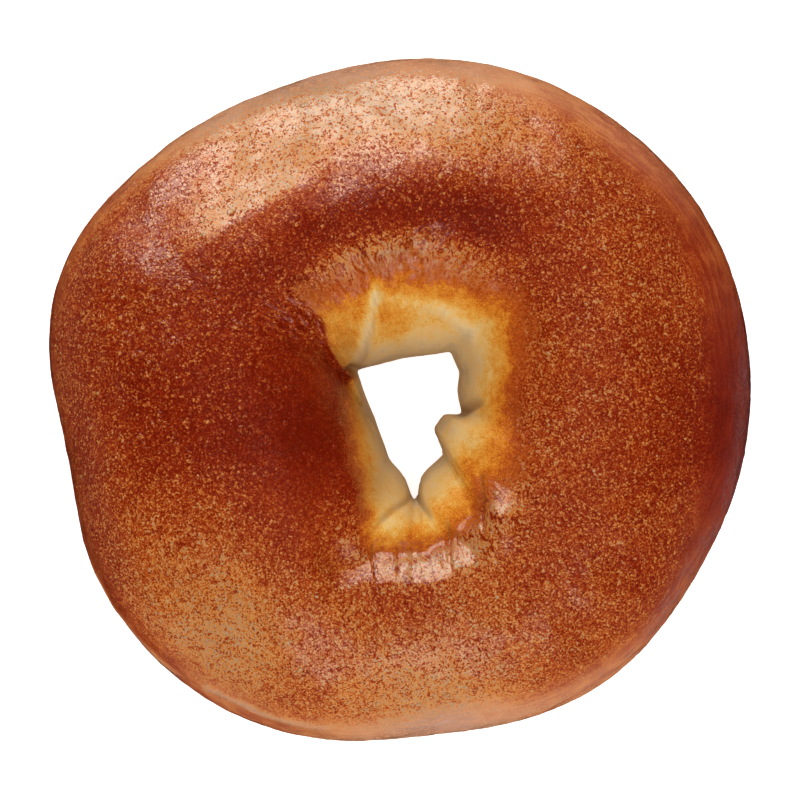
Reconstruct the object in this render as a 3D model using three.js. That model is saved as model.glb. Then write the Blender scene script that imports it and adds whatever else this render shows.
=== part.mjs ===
// A plain bagel: one ring of boiled and baked wheat dough, lying on its flat base.
// Millimetres, +Z up. The origin is the middle of the base, under the middle of the outer edge.
// Angles are in degrees, counter-clockwise from +X, seen from above.
import * as THREE from "three";
import { ParametricGeometry } from "three/addons/geometries/ParametricGeometry.js";
import { mergeVertices } from "three/addons/utils/BufferGeometryUtils.js";

// Driving dimensions of the ring
const MEAN_RADIUS = 52.2; // outer edge, before its bulges
const CROWN_HEIGHT = 34.5; // highest line of the ring over the base
const SHOULDER_LEVEL = 14.5; // where the ring is widest
const WAIST_LEVEL = 13; // where the hole is narrowest
const BASE_INSET = 8.5; // from the outer edge in to the flat base
const HOLE_FLARE = 5.5; // from the waist of the hole back to the flat base
const CROWN_SHARE = 0.44; // place of the crown, as a share of the way from hole to edge
const OUTER_FULLNESS = 2.1; // 2 is an ellipse, more is fuller

// The hole is a kite with a blunt knob on its east side and a slit at its south end. Its waist, corner by corner:
const HOLE_CENTRE = new THREE.Vector2(1.3, 0.6);
const HOLE_CORNERS = [
  [-5.9, 4.4],
  [-3.5, 5.0],
  [7.8, 7.3],
  [9.2, 4.3],
  [8.9, 1.3],
  [9.5, -2.1],
  [7.0, -2.1],
  [5.4, -4.2],
  [5.8, -6.0],
  [7.1, -7.8],
  [3.9, -10.9],
  [2.8, -12.8],
  [3.1, -15.2],
  [2.2, -16.2],
  [1.8, -12.9],
  [0.3, -10.6],
  [-1.3, -8.7],
  [-3.3, -2.2],
].map(([x, y]) => new THREE.Vector2(x, y));
const CORNER_ROUNDING = 3; // degrees either side over which a corner is rounded

// Bulges and dips round the ring: where, how wide in degrees, and how high in millimetres
const EDGE_BULGES = [
  { at: 30, spread: 36, rise: 1.5 },
  { at: 108, spread: 24, rise: -1.9 },
  { at: 159, spread: 17, rise: 2 },
  { at: 190, spread: 14, rise: -2 },
  { at: 234, spread: 24, rise: 1.1 },
  { at: 276, spread: 17, rise: -1.7 },
  { at: 308, spread: 12, rise: 0.3 },
  { at: 331, spread: 12, rise: -0.4 },
];
const CROWN_BULGES = [
  { at: 185, spread: 50, rise: 1.3 },
  { at: 130, spread: 16, rise: -0.7 },
  { at: 280, spread: 34, rise: -1.6 },
  { at: 60, spread: 30, rise: -0.5 },
];
// The west arm stands steepest over the hole, so its inner slope is fullest
const INNER_FULLNESS = 2;
const FULLNESS_BULGES = [
  { at: 195, spread: 38, rise: 0.7 },
  { at: 95, spread: 30, rise: -0.15 },
];

// On its north and west sides the hole has a lip, set back over the wall that stands out below it
const LIP_BULGES = [
  { at: 190, spread: 42, rise: 1.5 },
  { at: 105, spread: 34, rise: 1.1 },
];
const LEDGE_LEVEL = 7.5; // height under which the wall below the lip stands fully out

// Creases where the dough folded into the hole, each from the hole outwards, and ridges with a depth below 0
const CREASES = [
  { path: [[3.1, -14.2], [4.9, -17.1], [6.5, -19.2], [7.9, -25.2]], width: 0.9, depth: 1.3 },
  { path: [[1.4, -14.5], [-0.8, -17.1], [-2.4, -20.0], [-3.0, -23.2]], width: 0.8, depth: 1.0 },
  { path: [[9.4, -1.8], [13.6, 0.6]], width: 0.9, depth: 0.9 },
  { path: [[12.2, -9.0], [12.5, -13.0], [12.7, -18.0]], width: 0.7, depth: 0.7 },
  { path: [[6.8, -7.9], [11.5, -10.2]], width: 1.0, depth: 0.7 },
  { path: [[-6.3, 6.8], [-4.3, 12.4], [-3.2, 17.4]], width: 1.1, depth: -0.7 },
  { path: [[10.6, 9.4], [7.0, 12.8], [1.9, 14.3], [-3.2, 15.4]], width: 1.1, depth: -0.6 },
];
// The end of the west arm laps over the north arm along this line
const LAP = { path: [[-8.4, 5.0], [-10.4, 8.9], [-11.6, 12.3], [-15.0, 15.6]], step: 1.6, blend: 2.2, reach: 5 };

// Low waves that keep the crust from being an even surface of revolution
const WAVES = { count: 9, longest: 40, shrink: 0.83, steepness: 0.006, turn: 137.5, climb: 0.6, phase: 1.7 };

// Facets
const AROUND = 120;

const smooth = THREE.MathUtils.smoothstep;
const radians = THREE.MathUtils.degToRad;

function bulge(bulges, degrees) {
  const share = ({ at, spread, rise }) => {
    const off = THREE.MathUtils.euclideanModulo(degrees - at + 180, 360) - 180;
    return rise * Math.exp(-((off / spread) ** 2));
  };
  return bulges.reduce((sum, one) => sum + share(one), 0);
}

// Distance from the middle of the hole to its outline, along one direction
function holeReach(degrees) {
  const ray = new THREE.Vector2(Math.cos(radians(degrees)), Math.sin(radians(degrees)));
  let reach = 0;
  HOLE_CORNERS.forEach((corner, i) => {
    const start = corner.clone().sub(HOLE_CENTRE);
    const edge = HOLE_CORNERS[(i + 1) % HOLE_CORNERS.length].clone().sub(corner);
    const turn = ray.cross(edge);
    const along = start.cross(edge) / turn;
    const share = start.cross(ray) / turn;
    if (share >= 0 && share <= 1) reach = Math.max(reach, along);
  });
  return reach;
}

function roundedHoleReach(degrees) {
  const offsets = [-1, -0.5, 0, 0.5, 1];
  const weights = offsets.map((offset) => 1 - 0.6 * Math.abs(offset));
  const total = weights.reduce((sum, weight) => sum + weight, 0);
  const weighted = offsets.map((offset, i) => weights[i] * holeReach(degrees + offset * CORNER_ROUNDING));
  return weighted.reduce((sum, reach) => sum + reach, 0) / total;
}

// Nearest place on a path, seen from above: distance, side (+1 on its left) and share of the way along it
function nearest(path, x, y) {
  let best = { distance: Infinity };
  for (let i = 0; i < path.length - 1; i++) {
    const [ax, ay] = path[i];
    const [dx, dy] = [path[i + 1][0] - ax, path[i + 1][1] - ay];
    const share = THREE.MathUtils.clamp(((x - ax) * dx + (y - ay) * dy) / (dx * dx + dy * dy), 0, 1);
    const [ox, oy] = [x - ax - share * dx, y - ay - share * dy];
    const distance = Math.hypot(ox, oy);
    if (distance < best.distance) {
      const side = dx * oy - dy * ox > 0 ? 1 : -1;
      best = { distance, side, along: (i + share) / (path.length - 1) };
    }
  }
  return best;
}

function creaseRelief(x, y) {
  return CREASES.reduce((sum, { path, width, depth }) => {
    const { distance, along } = nearest(path, x, y);
    const fade = 1 - smooth(along, 0.45, 1);
    return sum - depth * fade * Math.exp(-((distance / width) ** 2));
  }, 0);
}

// The lapping arm stands proud on the right of the line, and the arm under it dips on the left
function lapRelief(x, y) {
  const { distance, side, along } = nearest(LAP.path, x, y);
  const fade = (1 - smooth(along, 0.5, 1)) * Math.exp(-distance / LAP.reach);
  return -0.5 * side * LAP.step * fade * smooth(distance, 0, LAP.blend);
}

function waveRelief(x, y, z) {
  let height = 0;
  for (let k = 0; k < WAVES.count; k++) {
    const length = WAVES.longest * WAVES.shrink ** k;
    const turn = radians(k * WAVES.turn);
    const along = x * Math.cos(turn) + y * Math.sin(turn) + z * WAVES.climb * (-1) ** k;
    height += WAVES.steepness * length * Math.sin((2 * Math.PI * along) / length + k * WAVES.phase);
  }
  return height;
}

// A point of a superellipse, as [across, up]
function arc([across, up], [halfWidth, halfHeight], degrees, fullness) {
  const [c, s] = [Math.cos(radians(degrees)), Math.sin(radians(degrees))];
  const full = (v) => Math.sign(v) * Math.abs(v) ** (2 / fullness);
  return [across + halfWidth * full(c), up + halfHeight * full(s)];
}

// The section of the ring is five stretches, run from the waist of the hole down, along the base,
// up the outer side, over the crown and back down into the hole.
const STRETCHES = [
  { steps: 5, at: (t) => arc([HOLE_FLARE, WAIST_LEVEL], [HOLE_FLARE, WAIST_LEVEL], 180 + 90 * t, 2) },
  { steps: 3, at: (t, s) => [THREE.MathUtils.lerp(HOLE_FLARE, s.width - BASE_INSET, t), 0] },
  { steps: 5, at: (t, s) => arc([s.width - BASE_INSET, SHOULDER_LEVEL], [BASE_INSET, SHOULDER_LEVEL], 270 + 90 * t, 2) },
  {
    steps: 10,
    at: (t, s) => arc([s.crown, SHOULDER_LEVEL], [s.width - s.crown, s.height - SHOULDER_LEVEL], 90 * t, OUTER_FULLNESS),
  },
  {
    steps: 13,
    at: (t, s) => arc([s.crown, WAIST_LEVEL], [s.crown, s.height - WAIST_LEVEL], 90 + 90 * t, s.fullness),
  },
];
const ACROSS = STRETCHES.reduce((sum, { steps }) => sum + steps, 0);

function sectionPoint(step, section) {
  let left = step;
  for (const { steps, at } of STRETCHES) {
    if (left <= steps) return at(left / steps, section);
    left -= steps;
  }
  throw new Error("the step lies past the end of the section");
}

function crustPoint(u, v, target) {
  const degrees = 360 * (u % 1);
  const ray = new THREE.Vector2(Math.cos(radians(degrees)), Math.sin(radians(degrees)));
  const inner = HOLE_CENTRE.clone().addScaledVector(ray, roundedHoleReach(degrees));
  const outer = ray.clone().multiplyScalar(MEAN_RADIUS + bulge(EDGE_BULGES, degrees));
  const width = inner.distanceTo(outer);
  const section = {
    width,
    crown: CROWN_SHARE * width,
    height: CROWN_HEIGHT + bulge(CROWN_BULGES, degrees),
    fullness: INNER_FULLNESS + bulge(FULLNESS_BULGES, degrees),
  };
  const [across, up] = sectionPoint(Math.round((v % 1) * ACROSS), section);
  const setBack = bulge(LIP_BULGES, degrees) * smooth(up, LEDGE_LEVEL, WAIST_LEVEL) * (1 - across / width) ** 2;
  const plan = inner.clone().lerp(outer, (across + setBack) / width);
  const outward = new THREE.Vector2(across - width / 2, up - SHOULDER_LEVEL).normalize();
  const relief =
    waveRelief(plan.x, plan.y, up) * smooth(up, SHOULDER_LEVEL + 1, SHOULDER_LEVEL + 13) +
    (creaseRelief(plan.x, plan.y) + lapRelief(plan.x, plan.y)) * smooth(up, WAIST_LEVEL - 3, WAIST_LEVEL + 5);
  const direction = outer.clone().sub(inner).normalize();
  plan.addScaledVector(direction, outward.x * relief);
  target.set(plan.x, plan.y, up + outward.y * relief);
}

// Puts the origin under the middle of the outer edge
function centreOnBase(geometry) {
  geometry.computeBoundingBox();
  const middle = geometry.boundingBox.getCenter(new THREE.Vector3());
  return geometry.translate(-middle.x, -middle.y, -geometry.boundingBox.min.z);
}

function closedSurface(geometry) {
  geometry.deleteAttribute("normal");
  geometry.deleteAttribute("uv");
  const merged = mergeVertices(geometry);
  merged.computeVertexNormals();
  return merged;
}

const crust = new THREE.MeshStandardMaterial({ color: 0x96401c, roughness: 0.35, metalness: 0 });
const bagel = new THREE.Mesh(
  centreOnBase(closedSurface(new ParametricGeometry(crustPoint, AROUND, ACROSS))),
  crust,
);
bagel.name = "bagel";

const part = new THREE.Group();
part.add(bagel);

export default part;
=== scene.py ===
import math

import bpy
import numpy as np
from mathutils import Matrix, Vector, noise


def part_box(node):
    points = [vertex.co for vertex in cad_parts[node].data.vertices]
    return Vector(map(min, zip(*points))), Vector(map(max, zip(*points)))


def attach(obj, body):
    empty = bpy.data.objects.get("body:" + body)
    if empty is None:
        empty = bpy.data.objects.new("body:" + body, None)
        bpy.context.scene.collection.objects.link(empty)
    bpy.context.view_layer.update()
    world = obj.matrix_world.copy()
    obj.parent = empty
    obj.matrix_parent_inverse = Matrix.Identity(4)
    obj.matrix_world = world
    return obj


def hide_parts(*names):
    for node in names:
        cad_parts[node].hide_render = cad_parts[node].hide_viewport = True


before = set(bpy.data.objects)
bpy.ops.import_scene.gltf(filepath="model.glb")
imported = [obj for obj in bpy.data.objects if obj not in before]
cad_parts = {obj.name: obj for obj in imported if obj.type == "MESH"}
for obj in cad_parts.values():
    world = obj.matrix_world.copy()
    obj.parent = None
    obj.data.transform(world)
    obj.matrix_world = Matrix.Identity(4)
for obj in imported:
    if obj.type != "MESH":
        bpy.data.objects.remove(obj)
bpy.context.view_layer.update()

# The ring of dough
# A rope of wheat dough, rolled by hand and joined into a ring, then boiled, glazed and baked lying flat.
# The hole was squeezed into a kite with a slit, and one end of the rope laps over the other beside it.
MEAN_RADIUS = 52.2  # millimetres and degrees throughout, turned to metres when the mesh is made
CROWN_HEIGHT = 34.5
SHOULDER_LEVEL = 14.5
WAIST_LEVEL = 13
BASE_INSET = 8.5
HOLE_FLARE = 5.5
CROWN_SHARE = 0.44
OUTER_FULLNESS = 2.1
INNER_FULLNESS = 2
LEDGE_LEVEL = 7.5
HOLE_CENTRE = np.array([1.3, 0.6])
HOLE_CORNERS = np.array([
    [-5.9, 4.4], [-3.5, 5.0], [7.8, 7.3], [9.2, 4.3], [8.9, 1.3], [9.5, -2.1],
    [7.0, -2.1], [5.4, -4.2], [5.8, -6.0], [7.1, -7.8], [3.9, -10.9], [2.8, -12.8],
    [3.1, -15.2], [2.2, -16.2], [1.8, -12.9], [0.3, -10.6], [-1.3, -8.7], [-3.3, -2.2],
])
# Bulges and dips round the ring, each as place, spread and rise
EDGE_BULGES = [(30, 36, 1.5), (108, 24, -1.9), (159, 17, 2), (190, 14, -2),
               (234, 24, 1.1), (276, 17, -1.7), (308, 12, 0.3), (331, 12, -0.4)]
CROWN_BULGES = [(185, 50, 1.3), (130, 16, -0.7), (280, 34, -1.6), (60, 30, -0.5)]
FULLNESS_BULGES = [(195, 38, 0.7), (95, 30, -0.15), (282, 28, 0.45)]
OUTER_BULGES = [(112, 42, -0.3)]
CROWN_SHIFTS = [(280, 35, 0.06)]
LIP_BULGES = [(190, 42, 1.5), (105, 34, 1.1)]

AROUND = 620
degrees = np.arange(AROUND) * 360 / AROUND
ray = np.stack([np.cos(np.radians(degrees)), np.sin(np.radians(degrees))], axis=-1)


def bulge(bulges, degrees):
    total = np.zeros(len(degrees))
    for place, spread, rise in bulges:
        off = (degrees - place + 180) % 360 - 180
        total += rise * np.exp(-((off / spread) ** 2))
    return total


def reach_to_outline(corners, degrees):
    """Distance from the middle of the hole to the outline through the corners, along each direction."""
    ray_x, ray_y = np.cos(np.radians(degrees)), np.sin(np.radians(degrees))
    reach = np.zeros(len(degrees))
    for corner, following in zip(corners, np.roll(corners, -1, axis=0)):
        start, edge = corner - HOLE_CENTRE, following - corner
        turn = ray_x * edge[1] - ray_y * edge[0] + 1e-12
        along = (start[0] * edge[1] - start[1] * edge[0]) / turn
        share = (start[0] * ray_y - start[1] * ray_x) / turn
        reach = np.where((share >= 0) & (share <= 1), np.maximum(reach, along), reach)
    return reach


def rounded_reach(corners, degrees, rounding):
    offsets = np.linspace(-1, 1, 9)
    weights = 1 - 0.6 * np.abs(offsets)
    reaches = [reach_to_outline(corners, degrees + offset * rounding) for offset in offsets]
    return np.average(reaches, axis=0, weights=weights)


def smooth(value, low, high):
    share = np.clip((value - low) / (high - low), 0, 1)
    return share * share * (3 - 2 * share)


def arc(centre, half, turn, fullness):
    """Points of a superellipse, as distances across the ring and up."""
    cosine, sine = np.cos(np.radians(turn)), np.sin(np.radians(turn))
    across = centre[0] + half[0] * np.sign(cosine) * np.abs(cosine) ** (2 / fullness)
    return across, centre[1] + half[1] * np.sign(sine) * np.abs(sine) ** (2 / fullness)


HOLE_ROUNDING = 3
inner_reach = rounded_reach(HOLE_CORNERS, degrees, HOLE_ROUNDING)
inner = HOLE_CENTRE + ray * inner_reach[:, None]
outer = ray * (MEAN_RADIUS + bulge(EDGE_BULGES, degrees))[:, None]
width = np.linalg.norm(outer - inner, axis=1)
crown = (CROWN_SHARE + bulge(CROWN_SHIFTS, degrees)) * width
height = CROWN_HEIGHT + bulge(CROWN_BULGES, degrees)
fullness = INNER_FULLNESS + bulge(FULLNESS_BULGES, degrees)
outer_fullness = OUTER_FULLNESS + bulge(OUTER_BULGES, degrees)


def stretch(steps):
    return (np.arange(steps) / steps)[:, None] + np.zeros(AROUND)


wall, base, under, outside, inside = stretch(18), stretch(6), stretch(16), stretch(58), stretch(62)
flat = HOLE_FLARE + base * (width - BASE_INSET - HOLE_FLARE)
section = [
    arc((HOLE_FLARE, WAIST_LEVEL), (HOLE_FLARE, WAIST_LEVEL), 180 + 90 * wall, 2),
    (flat, flat * 0),
    arc((width - BASE_INSET, SHOULDER_LEVEL), (BASE_INSET, SHOULDER_LEVEL), 270 + 90 * under, 2),
    arc((crown, SHOULDER_LEVEL), (width - crown, height - SHOULDER_LEVEL), 90 * outside, outer_fullness),
    arc((crown, WAIST_LEVEL), (crown, height - WAIST_LEVEL), 90 + 90 * inside, fullness),
]
across = np.concatenate([part[0] for part in section])
up = np.concatenate([part[1] for part in section])
ACROSS = len(across)
share_across = across / width
outer_side = across > width / 2

set_back = bulge(LIP_BULGES, degrees) * smooth(up, LEDGE_LEVEL, WAIST_LEVEL) * (1 - share_across) ** 2
plan = inner + (outer - inner) * ((across + set_back) / width)[:, :, None]
# The slit and the notch east of it fade out towards the crown, each as place, spread and amount
SLIT_BULGES, NOTCH_BULGES, FADED_ROUNDING = [(273, 12, 1)], [(340, 12, 1)], 14
sharpness = inner_reach - rounded_reach(HOLE_CORNERS, degrees, FADED_ROUNDING)
faded = np.clip(sharpness, 0, None) * bulge(SLIT_BULGES, degrees)
faded = faded + sharpness * bulge(NOTCH_BULGES, degrees)
fading = smooth(share_across, 0.03, 0.24) * (1 - share_across) * (up > WAIST_LEVEL)
plan -= ray * (faded * fading)[:, :, None]
outward = np.stack([across - width / 2, up - SHOULDER_LEVEL], axis=-1)
outward /= np.linalg.norm(outward, axis=-1, keepdims=True) + 1e-9
x, y = plan[:, :, 0], plan[:, :, 1]

# The creases were pinched when the ends were joined. Each is a path from the hole outwards, its width and
# its depth, and a depth below nothing is a ridge.
CREASES = [
    ([[3.0, -14.4], [4.4, -16.5], [5.4, -18.4]], 0.42, 0.7),
    ([[1.4, -14.6], [-0.8, -16.2], [-2.8, -18.0], [-5.4, -20.8]], 0.5, 0.4),
    ([[9.4, -1.8], [13.0, 0.2]], 0.8, 0.9),
    ([[12.0, -11.0], [12.4, -15.2], [12.8, -24.1]], 0.35, 0.5),
    ([[7.1, -17.4], [7.3, -21.5], [7.9, -26.5]], 0.4, 0.6),
    ([[0.1, -20.6], [0.1, -26.8]], 0.22, 0.25),
    ([[-3.6, -20.5], [-3.3, -24.5], [-2.5, -29.6]], 0.25, 0.4),
    ([[-5.9, 4.4], [-8.6, 5.6]], 0.7, 1.5),
    ([[-6.3, 6.8], [-4.3, 12.4], [-3.2, 17.4]], 1.0, -0.5),
    ([[10.6, 9.4], [7.0, 12.8], [1.9, 14.3], [-3.2, 15.4]], 0.9, -0.35),
]
# Soft mounds and hollows of dough at the hole, each as x, y, reach and rise
MOUNDS = [
    (0.6, -18.3, 2.4, 0.8), (-8.2, -24.0, 3.4, -2.4), (14.6, -18.3, 3.8, 1.9), (15.0, -11.0, 3.0, -0.4),
    (6.8, -13.5, 3.2, 0.5), (-2.2, -12.5, 2.6, 0.5), (8.6, -4.6, 2.4, 0.6),
]
# The lap is a step with the end of the west arm on top
LAP_PATH = [[-8.6, 4.9], [-10.4, 8.2], [-11.1, 12.0], [-15.2, 15.4]]
LAP_STEP, LAP_BLEND, LAP_REACH = 1.9, 0.7, 5
# The lip south of the hole, where the top of the ring turns down sharply towards the hole
LIP_PATH = [
    [-9.5, -21.5], [-6.4, -25.5], [-3.4, -26.8], [3.0, -27.2], [7.8, -26.4],
    [8.6, -24.6], [12.6, -24.0], [13.8, -20.5], [18.0, -17.5],
]
LIP_DROP, LIP_WIDTH, LIP_NEAR, LIP_FAR = 2.6, 6, 5, 9
# Thin ridges near the foot, where the skin was stretched, each as a path, its width and its height
FOOT_RIDGES = [
    ([[-46.6, -23.0], [-42.4, -30.4], [-38.9, -34.9], [-35.6, -38.6], [-31.4, -42.0]], 0.3, 0.22),
    ([[-29.8, -42.4], [-20.5, -46.4], [-9.0, -49.0]], 0.45, 0.25),
]


def nearest(path, x, y):
    """Distance to a path seen from above, the side of it (1 on the left) and the share of the way along."""
    best, side, along = np.full(x.shape, 1e9), np.zeros(x.shape), np.zeros(x.shape)
    for number, ((from_x, from_y), (to_x, to_y)) in enumerate(zip(path, path[1:])):
        run_x, run_y = to_x - from_x, to_y - from_y
        share = (x - from_x) * run_x + (y - from_y) * run_y
        share = np.clip(share / (run_x * run_x + run_y * run_y), 0, 1)
        off_x, off_y = x - from_x - share * run_x, y - from_y - share * run_y
        distance = np.hypot(off_x, off_y)
        closer = distance < best
        best = np.where(closer, distance, best)
        side = np.where(closer, np.where(run_x * off_y - run_y * off_x > 0, 1, -1), side)
        along = np.where(closer, (number + share) / (len(path) - 1), along)
    return best, side, along


LONGEST_WAVE, WAVE_SHRINK, WAVE_STEEPNESS, WAVE_COUNT = 40, 0.83, 0.006, 9


def waves(x, y, z):
    """Soft waves of the crust, each shorter than the last and turned away from it."""
    total = np.zeros(x.shape)
    for number in range(WAVE_COUNT):
        length = LONGEST_WAVE * WAVE_SHRINK ** number
        turn = math.radians(137.5 * number)
        along = x * math.cos(turn) + y * math.sin(turn) + z * 0.6 * (-1) ** number
        total += WAVE_STEEPNESS * length * np.sin(2 * math.pi * along / length + 1.7 * number)
    return total


def lumps(size, seed):
    """Even random lumps of the crust, about -0.5 to 0.5, one value for each point of the section grid."""
    scaled = np.stack([x, y, up], axis=-1).reshape(-1, 3) / size + seed * 17.3
    return np.array([noise.noise(Vector(place)) for place in scaled]).reshape(x.shape)


def round_patch(middle_x, middle_y, reach):
    """1 at a place seen from above, fading with distance from it."""
    return np.exp(-((x - middle_x) ** 2 + (y - middle_y) ** 2) / reach ** 2)


relief = waves(x, y, up) * smooth(up, SHOULDER_LEVEL + 1, SHOULDER_LEVEL + 13)
top = smooth(up, WAIST_LEVEL - 3, WAIST_LEVEL + 5)
pinched = np.zeros(x.shape)
for path, crease_width, depth in CREASES:
    distance, side, along = nearest(path, x, y)
    shown = (1 - smooth(along, 0.45, 1)) * np.exp(-((distance / crease_width) ** 2))
    relief -= top * depth * shown
    # Creases that go in are also darkened in colour, as painted shade
    if depth > 0:
        pinched = np.maximum(pinched, shown)
for mound_x, mound_y, reach, rise in MOUNDS:
    relief += top * rise * round_patch(mound_x, mound_y, reach)
distance, side, along = nearest(LAP_PATH, x, y)
lap_fade = (1 - smooth(along, 0.5, 1)) * np.exp(-distance / LAP_REACH) * smooth(distance, 0, LAP_BLEND)
relief -= 0.5 * side * LAP_STEP * lap_fade * top
distance, side, along = nearest(LIP_PATH, x, y)
lip_ends = smooth(along, 0, 0.12) * (1 - smooth(along, 0.8, 1))
turned_down = np.clip(distance * side / LIP_WIDTH, 0, 1)
relief -= LIP_DROP * turned_down * lip_ends * (1 - smooth(distance, LIP_NEAR, LIP_FAR)) * top
foot_ridge = np.zeros(x.shape)
for path, ridge_width, rise in FOOT_RIDGES:
    distance, side, along = nearest(path, x, y)
    shown = smooth(along, 0, 0.1) * (1 - smooth(along, 0.85, 1)) * (up > SHOULDER_LEVEL)
    profile = np.exp(-((distance / ridge_width) ** 2))
    foot_ridge = np.maximum(foot_ridge, shown * profile)
    relief += rise * shown * profile
# Lumps of the crust above its flat base, each as size, seed and height
LUMPS = [(5, 1, 0.1), (2.4, 2, 0.07), (1.2, 3, 0.05)]
relief += sum(rise * lumps(size, seed) for size, seed, rise in LUMPS) * smooth(up, 0.5, 4)

# Fine wrinkles run down the inner slope where the skin gathered, each as place, spread and depth
WRINKLE_BULGES = [(100, 42, 0.45), (292, 34, 0.08), (150, 12, 0.3), (340, 20, 0.04)]
WRINKLE_WIDTH, WRINKLE_LENGTH, SLOPE_RADIUS = 1.0, 3.5, 21
around_hole = SLOPE_RADIUS * ray + np.stack([lumps(2, 7), lumps(2, 8)], axis=-1)
on_slope = smooth(share_across, 0.06, 0.16) * (1 - smooth(share_across, 0.34, 0.46)) * (up > WAIST_LEVEL)
down_slope = share_across * 40 + (0.3 + 0.9 * on_slope) * lumps(2.5, 6)
gathered = np.concatenate([around_hole, down_slope[:, :, None]], axis=-1)
wrinkle_size = np.array([WRINKLE_WIDTH, WRINKLE_WIDTH, WRINKLE_LENGTH])
wrinkled = np.array([noise.noise(Vector(place)) for place in (gathered / wrinkle_size).reshape(-1, 3)])
relief += wrinkled.reshape(x.shape) * on_slope * bulge(WRINKLE_BULGES, degrees)
# How strongly the skin is creased where it gathered, for the finest lines, as place, spread and amount
GATHER_BULGES = [(95, 36, 1.0), (140, 14, 0.4), (278, 32, 0.8), (315, 12, 0.6)]
gather = np.clip(bulge(GATHER_BULGES, degrees), 0, 1) * on_slope
# How whole the glaze is: most on the lip south of the hole, and about half as much on the slope north of it
SHINE_BULGES = [(95, 36, 0.45), (275, 32, 1.0), (315, 16, 0.4)]
shine = np.clip(bulge(SHINE_BULGES, degrees), 0, 1) * on_slope

# How far the crust is baked, 0 pale to 1 mahogany: the middle value, then what the thin ridges add, the
# painted shade darkening the creases, and soft patches as x, y, reach and amount
EVEN_BAKE, RIDGE_BAKE, CREASE_SHADE = 0.73, -0.3, 0.25
BAKE_PATCHES = [
    (-24, -2, 17, 0.27), (-16, 22, 10, 0.2), (-8, 27, 6, 0.1), (2, 29, 6, 0.22), (12, 27, 6, 0.22),
    (22, 20, 7, 0.1), (-14, 43, 9, -0.38), (-3, 44, 9, -0.38), (8, 44, 9, -0.34), (18, 41, 8, -0.14),
    (-26, 38, 9, -0.26), (-22, 30, 7, -0.14), (34, 34, 12, -0.06), (6, -34, 9, 0.05), (-9, 19.5, 4.5, -0.2),
    (-2, 21, 4, -0.2), (5, 20.5, 4.5, -0.2), (11, 18.5, 4, -0.15), (0, -29, 6, 0.15), (-4, 27.5, 4, 0.12),
    (4, 28, 4, 0.12), (12, 26, 4, 0.1), (-12, 26, 4, 0.1), (-8, -3, 6, 0.12), (-4.5, -13, 4, 0.25),
    # Painted highlight: the patches at 1, -24 and 10, -22 pale the lip south of the hole under its shine
    (-7.6, 7, 2.5, 0.25), (1, -24, 4, -0.25), (10, -22, 4, -0.25), (4, -42, 13, -0.41),
    (-26, -36, 12, -0.43), (26, -36, 13, -0.06), (48, -4, 12, 0.2), (-30, -20, 12, -0.12),
]
# The stretched skin at the rim took less colour, except to the south-west, as place, spread and amount
RIM_BULGES = [(62, 40, -0.26), (132, 28, -0.28), (202, 15, -0.08), (225, 16, 0.1), (258, 12, -0.12),
              (285, 30, -0.3), (325, 20, -0.12)]
bake = EVEN_BAKE + RIDGE_BAKE * foot_ridge + CREASE_SHADE * pinched
for patch_x, patch_y, reach, amount in BAKE_PATCHES:
    bake += amount * round_patch(patch_x, patch_y, reach)

# North-west the pale shiny crust ends sharply at the dark crust beside it. Shine below nothing is dull.
PALE_PATH = [[-33, 20], [-28, 23], [-24.5, 25.9], [-19, 28.6], [-13.7, 31.9], [-8, 35]]
PALE_AMOUNT, PALE_REACH, PALE_SHINE = 0.34, 5, 0.6
distance, side, along = nearest(PALE_PATH, x, y)
pale_ends = smooth(along, 0, 0.25) * (1 - smooth(along, 0.7, 1))
pale_side = side * smooth(distance, 0, 0.8) * np.exp(-((distance / PALE_REACH) ** 2)) * pale_ends
bake -= PALE_AMOUNT * np.clip(pale_side, 0, 1)
shine += PALE_SHINE * pale_side

# Where the crust begins round the hole, corner by corner. The dough inside it stayed hardly baked.
CRUST_CORNERS = np.array([
    [16.3, -1.7], [17.4, 3.5], [17.9, 8.0], [16.9, 14.4], [11.3, 16.5], [6.7, 18.4],
    [1.3, 19.2], [-4.0, 17.9], [-9.0, 15.6], [-11.2, 12.4], [-9.1, 4.4], [-7.6, -1.0],
    [-6.2, -9.6], [-5.3, -14.0], [-5.2, -18.0], [-5.4, -20.6], [1.3, -21.3], [6.6, -20.8],
    [7.4, -18.6], [11.2, -17.4], [11.6, -12.8], [15.6, -10.5], [17.6, -6.5],
])
CRUST_ROUNDING = 5
crust_reach = rounded_reach(CRUST_CORNERS, degrees, CRUST_ROUNDING)
from_middle = np.linalg.norm(plan - HOLE_CENTRE, axis=-1)
raw = 1 - (from_middle - inner_reach) / (crust_reach - inner_reach)
# The wall under the waist is as pale, and the underside is browned
raw = np.where(up < WAIST_LEVEL, np.where(across < width / 2, 2 * smooth(up, 0.5, 5) - 1, -1.0), raw)
# At the lip south of the hole the change from dough to crust is sharper
SHARPER_BULGES = [(272, 24, 2)]
raw = np.where(raw < 0, raw * (1 + bulge(SHARPER_BULGES, degrees)), raw)
# The ridges of the hole and the first crease stayed palest, each as path, width and amount
PALEST = [(CREASES[-2][0], 1.0, 0.4), (CREASES[-1][0], 1.0, 0.3), (CREASES[0][0], 0.6, 0.25)]
for path, pale_width, amount in PALEST:
    distance = nearest(path, x, y)[0]
    raw += amount * np.exp(-((distance / pale_width) ** 2)) * smooth(raw, -0.3, 0.1)
# Hollows between them turned gold and the dough at the slit stayed pale, each as x, y, reach and amount
RAW_PATCHES = [
    (-0.4, 11.2, 2.6, -0.3), (-7.5, 9.5, 2.6, -0.2), (9.4, -9.8, 1.6, -0.2),
    (-7.7, 4.4, 1.2, -0.9), (-1.2, -18.0, 2.6, 0.3), (-4.2, -16.8, 1.3, -0.3),
]
for patch_x, patch_y, reach, amount in RAW_PATCHES:
    raw += amount * round_patch(patch_x, patch_y, reach)
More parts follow.
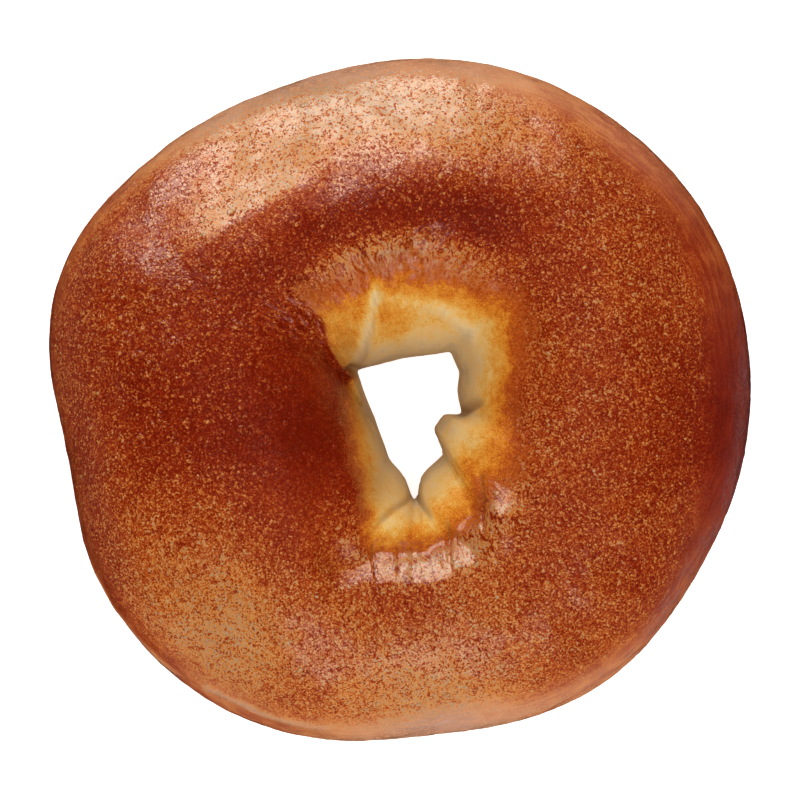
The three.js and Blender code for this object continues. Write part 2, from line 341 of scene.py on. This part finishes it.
# The end of the west arm is baked right up to its edge, and the dough that it covers stayed gold beside it
distance, side, along = nearest(LAP_PATH, x, y)
by_lap = np.exp(-((distance / 3.2) ** 2)) * (up > WAIST_LEVEL + 4)
raw += np.where(side > 0, -1.1 * smooth(distance, 0, 0.5), 0.25) * by_lap

# The smooth band along the foot of the outer side, where the skin was stretched and took no blisters
BAND_WIDTH = 3.0
BAND_BULGES = [(10, 35, 3.5), (60, 30, 1.5), (105, 35, -1.5), (185, 35, -3.5), (300, 25, 1)]
to_edge = np.linalg.norm(outer, axis=-1) - np.linalg.norm(plan, axis=-1)
band = BAND_WIDTH + bulge(BAND_BULGES, degrees)
satin = np.where(up < SHOULDER_LEVEL, 1.0, 1 - smooth(to_edge, band - 2.4, band + 3)) * outer_side
at_rim = (1 - smooth(to_edge, 1.5, band + 3)) * outer_side * smooth(up, 1, 12)
bake += bulge(RIM_BULGES, degrees) * at_rim
# The slope west of the hole is nearly as smooth
satin = np.maximum(satin, 0.75 * np.exp(-(((x + 13) / 7) ** 2 + ((y + 5) / 16) ** 2)))

section_ray = (outer - inner) / width[:, None]
points = np.concatenate([
    plan + section_ray * (outward[:, :, :1] * relief[:, :, None]),
    (up + outward[:, :, 1] * relief)[:, :, None],
], axis=-1)
low, high = (np.array(corner) * 1000 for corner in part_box("bagel"))
middle = (points.reshape(-1, 3).min(axis=0) + points.reshape(-1, 3).max(axis=0)) / 2
shift = np.array([(low[0] + high[0]) / 2 - middle[0], (low[1] + high[1]) / 2 - middle[1], 0])
points = (points + shift) / 1000

row, column = np.meshgrid(np.arange(ACROSS), np.arange(AROUND), indexing="ij")
after, beside = (row + 1) % ACROSS, (column + 1) % AROUND
faces = np.stack([
    row * AROUND + column, row * AROUND + beside, after * AROUND + beside, after * AROUND + column,
])
ring_mesh = bpy.data.meshes.new("bagel_crust")
ring_mesh.from_pydata(points.reshape(-1, 3).tolist(), [], faces.reshape(4, -1).T.tolist())
ring_mesh.shade_smooth()
for name, values in (("bake", bake), ("raw", raw), ("satin", satin), ("gather", gather), ("shine", shine)):
    ring_mesh.attributes.new(name, "FLOAT", "POINT").data.foreach_set("value", values.reshape(-1))
gathered_store = ring_mesh.attributes.new("gathered", "FLOAT_VECTOR", "POINT")
gathered_store.data.foreach_set("vector", gathered.reshape(-1))
ring_mesh.validate()
bagel = bpy.data.objects.new("bagel_crust", ring_mesh)
bpy.context.scene.collection.objects.link(bagel)


def linear(hex_colour):
    """An sRGB colour such as "9a431c" as linear red, green, blue and alpha."""
    shares = [int(hex_colour[i:i + 2], 16) / 255 for i in (0, 2, 4)]
    lit = [share / 12.92 if share <= 0.04045 else ((share + 0.055) / 1.055) ** 2.4 for share in shares]
    return lit + [1]


def add_node(tree, kind, inputs=(), **settings):
    """A new node with its settings, values and links. A node given as an input is its first output."""
    made = tree.nodes.new(kind)
    for name, value in settings.items():
        setattr(made, name, value)
    for socket, value in (inputs if isinstance(inputs, dict) else dict(enumerate(inputs))).items():
        source = value.outputs[0] if isinstance(value, bpy.types.Node) else value
        if isinstance(source, bpy.types.NodeSocket):
            tree.links.new(source, made.inputs[socket])
        else:
            made.inputs[socket].default_value = source
    return made


def fill_ramp(ramp_node, stops):
    elements = ramp_node.color_ramp.elements
    while len(elements) < len(stops):
        elements.new(0.5)
    for element, (position, colour) in zip(elements, stops):
        element.position = position
        element.color = linear(colour)


# Glazed wheat crust: baked sugars run from golden tan to mahogany. The glaze dried in grains of about
# a quarter of a millimetre, with rust specks of a millimetre where it is pale, so the gloss breaks up.
crust = bpy.data.materials.new("glazed_wheat_crust")
crust.use_nodes = True
tree = crust.node_tree
tree.nodes.clear()
place = add_node(tree, "ShaderNodeTexCoord").outputs["Object"]
bake_value, raw_value, satin_value, gather_value, shine_value, blister_value = [
    add_node(tree, "ShaderNodeAttribute", attribute_name=name).outputs["Fac"]
    for name in ("bake", "raw", "satin", "gather", "shine", "blister")]
gathered_place = add_node(tree, "ShaderNodeAttribute", attribute_name="gathered").outputs["Vector"]

# Sizes of the marks in millimetres
GRAIN, DOT, SPECK, MOTTLE, CLOUD, PEEL = 0.26, 0.75, 1.0, 3.2, 11, 1.3
grain, speck, mottle, cloud, peel = [
    add_node(tree, "ShaderNodeTexNoise", {"Vector": place, "Scale": 1000 / size, "Detail": detail})
    for size, detail in ((GRAIN, 1), (SPECK, 3), (MOTTLE, 3), (CLOUD, 2), (PEEL, 2))]

# The golden dots: cells bent by the grain, each with a dot of random size
DOT_BEND = DOT / 1800
bend = add_node(tree, "ShaderNodeVectorMath", (grain.outputs["Color"], (0.5, 0.5, 0.5)),
                operation="SUBTRACT")
bent = add_node(tree, "ShaderNodeVectorMath", (bend, (DOT_BEND,) * 3, place), operation="MULTIPLY_ADD")
cells = add_node(tree, "ShaderNodeTexVoronoi", {"Vector": bent, "Scale": 1000 / DOT})
random = add_node(tree, "ShaderNodeSeparateColor", (cells.outputs["Color"],))
grain_cells = add_node(tree, "ShaderNodeTexVoronoi", {"Vector": bent, "Scale": 1000 / GRAIN})
grain_random = add_node(tree, "ShaderNodeSeparateColor", (grain_cells.outputs["Color"],)).outputs
reach = add_node(tree, "ShaderNodeMath", (random, 0.5, -0.12), operation="MULTIPLY_ADD")
inside_dot = add_node(tree, "ShaderNodeMath", (cells, reach), operation="SUBTRACT")
dots = add_node(tree, "ShaderNodeMapRange", (inside_dot, 0.12, -0.08, 0.0, 1.0),
                interpolation_type="SMOOTHSTEP")

# Fine strokes where the skin gathered, pale on their crests and dark between them
STROKE_WIDTH, STROKE_LENGTH = 0.4, 1.4
stroke_scale = (1 / STROKE_WIDTH, 1 / STROKE_WIDTH, 1 / STROKE_LENGTH)
stretched = add_node(tree, "ShaderNodeVectorMath", (gathered_place, stroke_scale), operation="MULTIPLY")
lines = add_node(tree, "ShaderNodeTexNoise", {"Vector": stretched, "Scale": 1.0, "Detail": 2})
strokes = add_node(tree, "ShaderNodeMapRange", (lines, 0.36, 0.54, 0.0, 1.0),
                   interpolation_type="SMOOTHSTEP")
strokes = add_node(tree, "ShaderNodeMath", (strokes, gather_value), operation="MULTIPLY")

# How brown each point is: the bake, then clouds, mottling, grain, light grains, dark specks that show most
# on pale crust, and golden dots on dark crust
rough_skin = add_node(tree, "ShaderNodeMath", (1.0, satin_value), operation="SUBTRACT")
browned = bake_value
for noise_node, swing in ((cloud, 0.25), (mottle, 0.3)):
    off_middle = add_node(tree, "ShaderNodeMath", (noise_node, 0.5), operation="SUBTRACT")
    browned = add_node(tree, "ShaderNodeMath", (off_middle, swing, browned), operation="MULTIPLY_ADD")
grain_swing = add_node(tree, "ShaderNodeMath", (rough_skin, 0.85, 0.15), operation="MULTIPLY_ADD")
off_middle = add_node(tree, "ShaderNodeMath", (0.46, grain), operation="SUBTRACT")
off_middle = add_node(tree, "ShaderNodeMath", (off_middle, 0.9), operation="MULTIPLY")
browned = add_node(tree, "ShaderNodeMath", (off_middle, grain_swing, browned), operation="MULTIPLY_ADD")
off_middle = add_node(tree, "ShaderNodeMath", (mottle, 0.5), operation="SUBTRACT")
light_pick = add_node(tree, "ShaderNodeMath", (off_middle, 0.6, grain_random[0]), operation="MULTIPLY_ADD")
light_grains = add_node(tree, "ShaderNodeMapRange", (light_pick, 0.55, 1.0, 0.0, -0.38))
less_on_pale = add_node(tree, "ShaderNodeMapRange", (bake_value, 0.15, 0.75, 0.5, 1.0))
light_grains = add_node(tree, "ShaderNodeMath", (light_grains, less_on_pale), operation="MULTIPLY")
browned = add_node(tree, "ShaderNodeMath", (light_grains, grain_swing, browned), operation="MULTIPLY_ADD")
off_middle = add_node(tree, "ShaderNodeMath", (speck, 0.5), operation="SUBTRACT")
dark_pick = add_node(tree, "ShaderNodeMath", (off_middle, 1.6, grain_random[1]), operation="MULTIPLY_ADD")
specks = add_node(tree, "ShaderNodeMapRange", (dark_pick, 0.68, 0.84, 0.0, 1.0),
                  interpolation_type="SMOOTHSTEP")
on_pale = add_node(tree, "ShaderNodeMapRange", (bake_value, 0.75, 0.1, 0.14, 0.42))
speck_swing = add_node(tree, "ShaderNodeMath", (on_pale, rough_skin), operation="MULTIPLY")
browned = add_node(tree, "ShaderNodeMath", (specks, speck_swing, browned), operation="MULTIPLY_ADD")
on_dark = add_node(tree, "ShaderNodeMapRange", (bake_value, 0.4, 0.7, 0.0, -0.36),
                   interpolation_type="SMOOTHSTEP")
dot_swing = add_node(tree, "ShaderNodeMath", (on_dark, rough_skin), operation="MULTIPLY")
clustered = add_node(tree, "ShaderNodeMapRange", (mottle, 0.4, 0.62, 0.25, 1.0))
dot_swing = add_node(tree, "ShaderNodeMath", (dot_swing, clustered), operation="MULTIPLY")
browned = add_node(tree, "ShaderNodeMath", (dots, dot_swing, browned), operation="MULTIPLY_ADD")
# Fine streaks along the rim, where the skin was stretched
STREAK_SCALE = (0.3, 0.3, 3.0)
streak_place = add_node(tree, "ShaderNodeVectorMath", (gathered_place, STREAK_SCALE), operation="MULTIPLY")
streaks = add_node(tree, "ShaderNodeTexNoise", {"Vector": streak_place, "Scale": 1.0, "Detail": 1})
streaks = add_node(tree, "ShaderNodeMath", (streaks, 0.5), operation="SUBTRACT")
streak_swing = add_node(tree, "ShaderNodeMath", (satin_value, 0.35), operation="MULTIPLY")
browned = add_node(tree, "ShaderNodeMath", (streaks, streak_swing, browned), operation="MULTIPLY_ADD")
for mark, swing in ((strokes, -0.6), (gather_value, 0.24), (blister_value, -0.12)):
    browned = add_node(tree, "ShaderNodeMath", (mark, swing, browned), operation="MULTIPLY_ADD")
crust_colour = add_node(tree, "ShaderNodeValToRGB", (browned,))
fill_ramp(crust_colour, [(0, "b08e72"), (0.1, "9f7956"), (0.22, "c68c52"), (0.35, "c47632"),
                         (0.5, "ab4e1a"), (0.65, "8f2d09"), (0.8, "7f1c04"), (1, "671001")])

# Round the hole the dough is tan at the wall and gold where the crust begins
ragged = raw_value
for noise_node, swing in ((mottle, 0.55), (speck, 0.45), (grain, 0.55)):
    off_middle = add_node(tree, "ShaderNodeMath", (noise_node, 0.5), operation="SUBTRACT")
    ragged = add_node(tree, "ShaderNodeMath", (off_middle, swing, ragged), operation="MULTIPLY_ADD")
crumb_colour = add_node(tree, "ShaderNodeValToRGB", (ragged,))
# The darker last stop, right at the wall, is painted shade of the deep wall
fill_ramp(crumb_colour, [(0, "ae4c14"), (0.12, "c26418"), (0.27, "d48424"), (0.45, "dca044"),
                         (0.62, "dfb469"), (0.85, "dbbd88"), (1, "cbb084")])
# Painted shade: where the crust beside it is dark, as on the steep west wall, the dough is mixed towards
# brown
painted_shade_share = add_node(tree, "ShaderNodeMapRange", (bake_value, 0.75, 1.0, 0.0, 0.5))
crumb_colour = add_node(tree, "ShaderNodeMix", {0: painted_shade_share, 6: crumb_colour, 7: linear("8a562a")},
                        data_type="RGBA")
crumb_share = add_node(tree, "ShaderNodeMapRange", (ragged, -0.4, 0.14, 0.0, 1.0),
                       interpolation_type="SMOOTHSTEP")
colour = add_node(tree, "ShaderNodeMix", {0: crumb_share, 6: crust_colour, 7: crumb_colour.outputs[2]},
                  data_type="RGBA")
# Painted sheen: the pale skin stretched over the rim is mixed towards pink, standing in for grazing light
# there
pale = add_node(tree, "ShaderNodeMapRange", (bake_value, 0.6, 0.15, 0.0, 1.0))
rim_sheen_share = add_node(tree, "ShaderNodeMath", (pale, satin_value), operation="MULTIPLY")
rim_sheen_share = add_node(tree, "ShaderNodeMath", (rim_sheen_share, 0.5), operation="MULTIPLY")
# A few grains of dried glaze are far paler than the rest, partly as golden flakes and partly as painted
# glints
glint_and_flake_grains = add_node(tree, "ShaderNodeMapRange", (grain_random[2], 0.95, 0.98, 0.0, 0.22))
glint_and_flake_grains = add_node(tree, "ShaderNodeMath", (glint_and_flake_grains, rough_skin), operation="MULTIPLY")
for share, tone in ((rim_sheen_share, "ca8c7a"), (glint_and_flake_grains, "dc9450")):
    colour = add_node(tree, "ShaderNodeMix", {0: share, 6: colour.outputs[2], 7: linear(tone)},
                      data_type="RGBA")

# The marks stand out or lie deep by less than a tenth of a millimetre
BUMP_HEIGHT = 0.00009
raised = add_node(tree, "ShaderNodeMath", (grain, 0.5), operation="MULTIPLY")
for bump_node, share in ((dots, 0.3), (peel, 0.2), (specks, -0.2), (strokes, 0.3)):
    raised = add_node(tree, "ShaderNodeMath", (bump_node, share, raised), operation="MULTIPLY_ADD")
strength = add_node(tree, "ShaderNodeMapRange", (raw_value, -0.1, 0.5, 1.0, 0.3))
for softer, swing in ((gather_value, -0.6), (pale, -0.4)):
    strength = add_node(tree, "ShaderNodeMath", (softer, swing, strength), operation="MULTIPLY_ADD")
bump = add_node(tree, "ShaderNodeBump", {"Height": raised, "Distance": BUMP_HEIGHT, "Strength": strength})
# The glaze is broken by the grain, least on pale skin. It is whole where the skin shines.
least_gloss = add_node(tree, "ShaderNodeMath", (pale, 0.45, 0.3), operation="MULTIPLY_ADD")
broken = add_node(tree, "ShaderNodeMapRange", (light_pick, 0.0, 0.9, least_gloss, 1.0))
bare_swing = add_node(tree, "ShaderNodeMath", (gather_value, 0.6, -0.95), operation="MULTIPLY_ADD")
bare = add_node(tree, "ShaderNodeMath", (specks, bare_swing, 1.0), operation="MULTIPLY_ADD")
patches = add_node(tree, "ShaderNodeMath", (mottle, cloud), operation="ADD")
patchy = add_node(tree, "ShaderNodeMapRange", (patches, 0.84, 1.12, 0.3, 1.2))
not_dull = add_node(tree, "ShaderNodeMapRange", (shine_value, -0.6, 0.0, 0.1, 1.0))
for factor, operation in ((patchy, "MULTIPLY"), (shine_value, "MAXIMUM"),
                          (not_dull, "MULTIPLY"), (bare, "MULTIPLY")):
    broken = add_node(tree, "ShaderNodeMath", (broken, factor), operation=operation)
glazed = add_node(tree, "ShaderNodeMapRange", (ragged, 0.0, 0.2, 1.0, 0.04))
glazed = add_node(tree, "ShaderNodeMath", (glazed, broken), operation="MULTIPLY")
roughness = add_node(tree, "ShaderNodeMapRange", (raw_value, -0.1, 0.5, 0.36, 0.6))
soft_inside = add_node(tree, "ShaderNodeMath", (crumb_share, 0.2), operation="MULTIPLY")
shader = add_node(tree, "ShaderNodeBsdfPrincipled", {
    "Base Color": colour.outputs[2], "Roughness": roughness, "Normal": bump, "Coat Normal": bump,
    "Specular IOR Level": 0.15, "Specular Tint": linear("ffc8a0"),
    "Coat Weight": glazed, "Coat Roughness": 0.13, "Coat IOR": 1.7,
    "Subsurface Weight": soft_inside,
    "Subsurface Radius": (1, 0.5, 0.25), "Subsurface Scale": 0.0015})
add_node(tree, "ShaderNodeOutputMaterial", {"Surface": shader})
ring_mesh.materials.append(crust)

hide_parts("bagel")
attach(bagel, "root")

# The blisters
# Steam lifted the glaze in low round blisters, densest in patches of the brown crust, with a band of them
# at the shoulder of the outer side. They are of the crust itself.
FEWEST_BLISTERS, SHOULDER_BLISTERS = 0.15, 0.3
BLISTER_PATCHES = [
    (-22, -24, 16, 0.9), (6, -33, 12, 0.7), (22, -22, 13, 0.5), (-30, 6, 16, 0.6), (30, 8, 16, 0.5),
]
blistering = np.full(x.shape, FEWEST_BLISTERS)
for patch_x, patch_y, reach, amount in BLISTER_PATCHES:
    blistering += amount * round_patch(patch_x, patch_y, reach)
blistering *= (1 - satin) * (raw < -0.1) * (up > SHOULDER_LEVEL + 2) * smooth(bake, 0.2, 0.5)
blistering += SHOULDER_BLISTERS * (abs(up - SHOULDER_LEVEL) < 3) * outer_side
carrier_mesh = ring_mesh.copy()
blistering_store = carrier_mesh.attributes.new("blistering", "FLOAT", "POINT")
blistering_store.data.foreach_set("value", blistering.reshape(-1))
carrier = bpy.data.objects.new("blister_carrier", carrier_mesh)
bpy.context.scene.collection.objects.link(carrier)

blister_tree = bpy.data.node_groups.new("blistered_skin", "GeometryNodeTree")
for name, kind in (("Geometry", "Geometry"), ("Most per square metre", "Float"),
                   ("Smallest radius", "Float"), ("Largest radius", "Float"),
                   ("Height share", "Float"), ("Seed", "Int"), ("Skin", "Material")):
    blister_tree.interface.new_socket(name, in_out="INPUT", socket_type="NodeSocket" + kind)
blister_tree.interface.new_socket("Geometry", in_out="OUTPUT", socket_type="NodeSocketGeometry")
given = blister_tree.nodes.new("NodeGroupInput").outputs
wanted = add_node(blister_tree, "GeometryNodeInputNamedAttribute", {"Name": "blistering"},
                  data_type="FLOAT")
density = add_node(blister_tree, "ShaderNodeMath", (wanted, given["Most per square metre"]),
                   operation="MULTIPLY")
spots = add_node(blister_tree, "GeometryNodeDistributePointsOnFaces",
                 {"Mesh": given["Geometry"], "Density": density, "Seed": given["Seed"]})
marked = add_node(blister_tree, "GeometryNodeStoreNamedAttribute",
                  {"Geometry": spots, "Name": "blister", "Value": 1.0}, data_type="FLOAT")
dome = add_node(blister_tree, "GeometryNodeMeshUVSphere", {"Segments": 6, "Rings": 4, "Radius": 1.0})
random_share = add_node(blister_tree, "FunctionNodeRandomValue",
                        {"Min": 0.0, "Max": 1.0, "Seed": given["Seed"]}, data_type="FLOAT").outputs["Value"]
size_share = add_node(blister_tree, "ShaderNodeMath", (random_share, 4.0), operation="POWER")
radius = add_node(blister_tree, "ShaderNodeMapRange",
                  {0: size_share, 3: given["Smallest radius"], 4: given["Largest radius"]})
rise = add_node(blister_tree, "ShaderNodeMath", (radius, given["Height share"]), operation="MULTIPLY")
dome_size = add_node(blister_tree, "ShaderNodeCombineXYZ", (radius, radius, rise))
domes = add_node(blister_tree, "GeometryNodeInstanceOnPoints", {
    "Points": marked, "Instance": dome, "Rotation": spots.outputs["Rotation"], "Scale": dome_size})
solid = add_node(blister_tree, "GeometryNodeRealizeInstances", (domes,))
solid = add_node(blister_tree, "GeometryNodeSetShadeSmooth", {"Geometry": solid})
solid = add_node(blister_tree, "GeometryNodeSetMaterial", {"Geometry": solid, "Material": given["Skin"]})
add_node(blister_tree, "NodeGroupOutput", {"Geometry": solid})

modifier = carrier.modifiers.new("blisters", "NODES")
modifier.node_group = blister_tree
blister_inputs = {"Most per square metre": 800000.0, "Smallest radius": 0.00012, "Largest radius": 0.00062,
                  "Height share": 0.13, "Seed": 7, "Skin": crust}
for item in blister_tree.interface.items_tree:
    if item.in_out == "INPUT" and item.name in blister_inputs:
        modifier[item.identifier] = blister_inputs[item.name]
evaluated = carrier.evaluated_get(bpy.context.evaluated_depsgraph_get())
blister_mesh = bpy.data.meshes.new_from_object(evaluated)
blister_mesh.name = "bagel_blisters"
bpy.data.objects.remove(carrier)
blister_piece = bpy.data.objects.new("bagel_blisters", blister_mesh)
bpy.context.scene.collection.objects.link(blister_piece)
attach(blister_piece, "root")

# The table under it
# A plain white surface, bright enough to show white through the hole.
TABLE_REACH = 3
floor_mesh = bpy.data.meshes.new("floor")
floor_corners = [(side_x * TABLE_REACH, side_y * TABLE_REACH, 0)
                 for side_x, side_y in ((-1, -1), (1, -1), (1, 1), (-1, 1))]
floor_mesh.from_pydata(floor_corners, [], [(0, 1, 2, 3)])
floor = bpy.data.objects.new("floor", floor_mesh)
bpy.context.scene.collection.objects.link(floor)
paper = bpy.data.materials.new("white_paper")
paper.use_nodes = True
paper_shader = paper.node_tree.nodes["Principled BSDF"]
paper_shader.inputs["Base Color"].default_value = linear("f4f3f1")
paper_shader.inputs["Roughness"].default_value = 0.9
paper_shader.inputs["Emission Color"].default_value = linear("ffffff")
paper_shader.inputs["Emission Strength"].default_value = 0.8
floor_mesh.materials.append(paper)
floor.visible_glossy = False
floor.visible_shadow = False

# The light
# A large soft light behind the bagel, seen as the sheen on its far slopes, and a weaker one in front of it.
world = bpy.data.worlds.new("studio")
bpy.context.scene.world = world
world.use_nodes = True
world.node_tree.nodes["Background"].inputs["Color"].default_value = linear("ffffff")
world.node_tree.nodes["Background"].inputs["Strength"].default_value = 0.3
world.cycles_visibility.glossy = False


def add_light(name, location, size, energy, colours=True, shines=True, tint="ffffff"):
    """A soft tinted light aimed at the bagel, which may only colour it or only shine on it."""
    data = bpy.data.lights.new(name, "AREA")
    data.shape = "RECTANGLE"
    data.size, data.size_y = size
    data.energy = energy
    data.color = linear(tint)[:3]
    light = bpy.data.objects.new(name, data)
    light.location = location
    light.rotation_euler = (-Vector(location)).to_track_quat("-Z", "Y").to_euler()
    light.visible_diffuse = colours
    light.visible_glossy = shines
    bpy.context.scene.collection.objects.link(light)


add_light("back_light", (-0.06, 0.65, 0.35), (0.75, 0.46), 2.85, shines=False)
add_light("back_sheen", (-0.15, 0.565, 0.2), (0.62, 0.76), 5.6, colours=False, tint="fffcf2")
add_light("front_light", (0.06, -0.6, 0.28), (0.6, 0.4), 2.1, shines=False)
add_light("front_sheen", (0.07, -0.48, 0.5), (0.5, 0.4), 0.75, colours=False)
add_light("table_sheen", (0.42, -0.3, -0.5), (0.9, 0.4), 0.2, colours=False)
add_light("overhead_light", (0, 0, 1.2), (0.8, 0.8), 7.0, shines=False)

# The camera
# Straight above, as the photograph was taken, 0.7 m over the table.
camera_data = bpy.data.cameras.new("camera")
camera_data.sensor_width = 36
camera_data.lens = 205.2
camera = bpy.data.objects.new("camera", camera_data)
camera.location = (0, -0.000075, 0.7)
bpy.context.scene.collection.objects.link(camera)
bpy.context.scene.camera = camera
bpy.context.scene.view_settings.view_transform = "Standard"
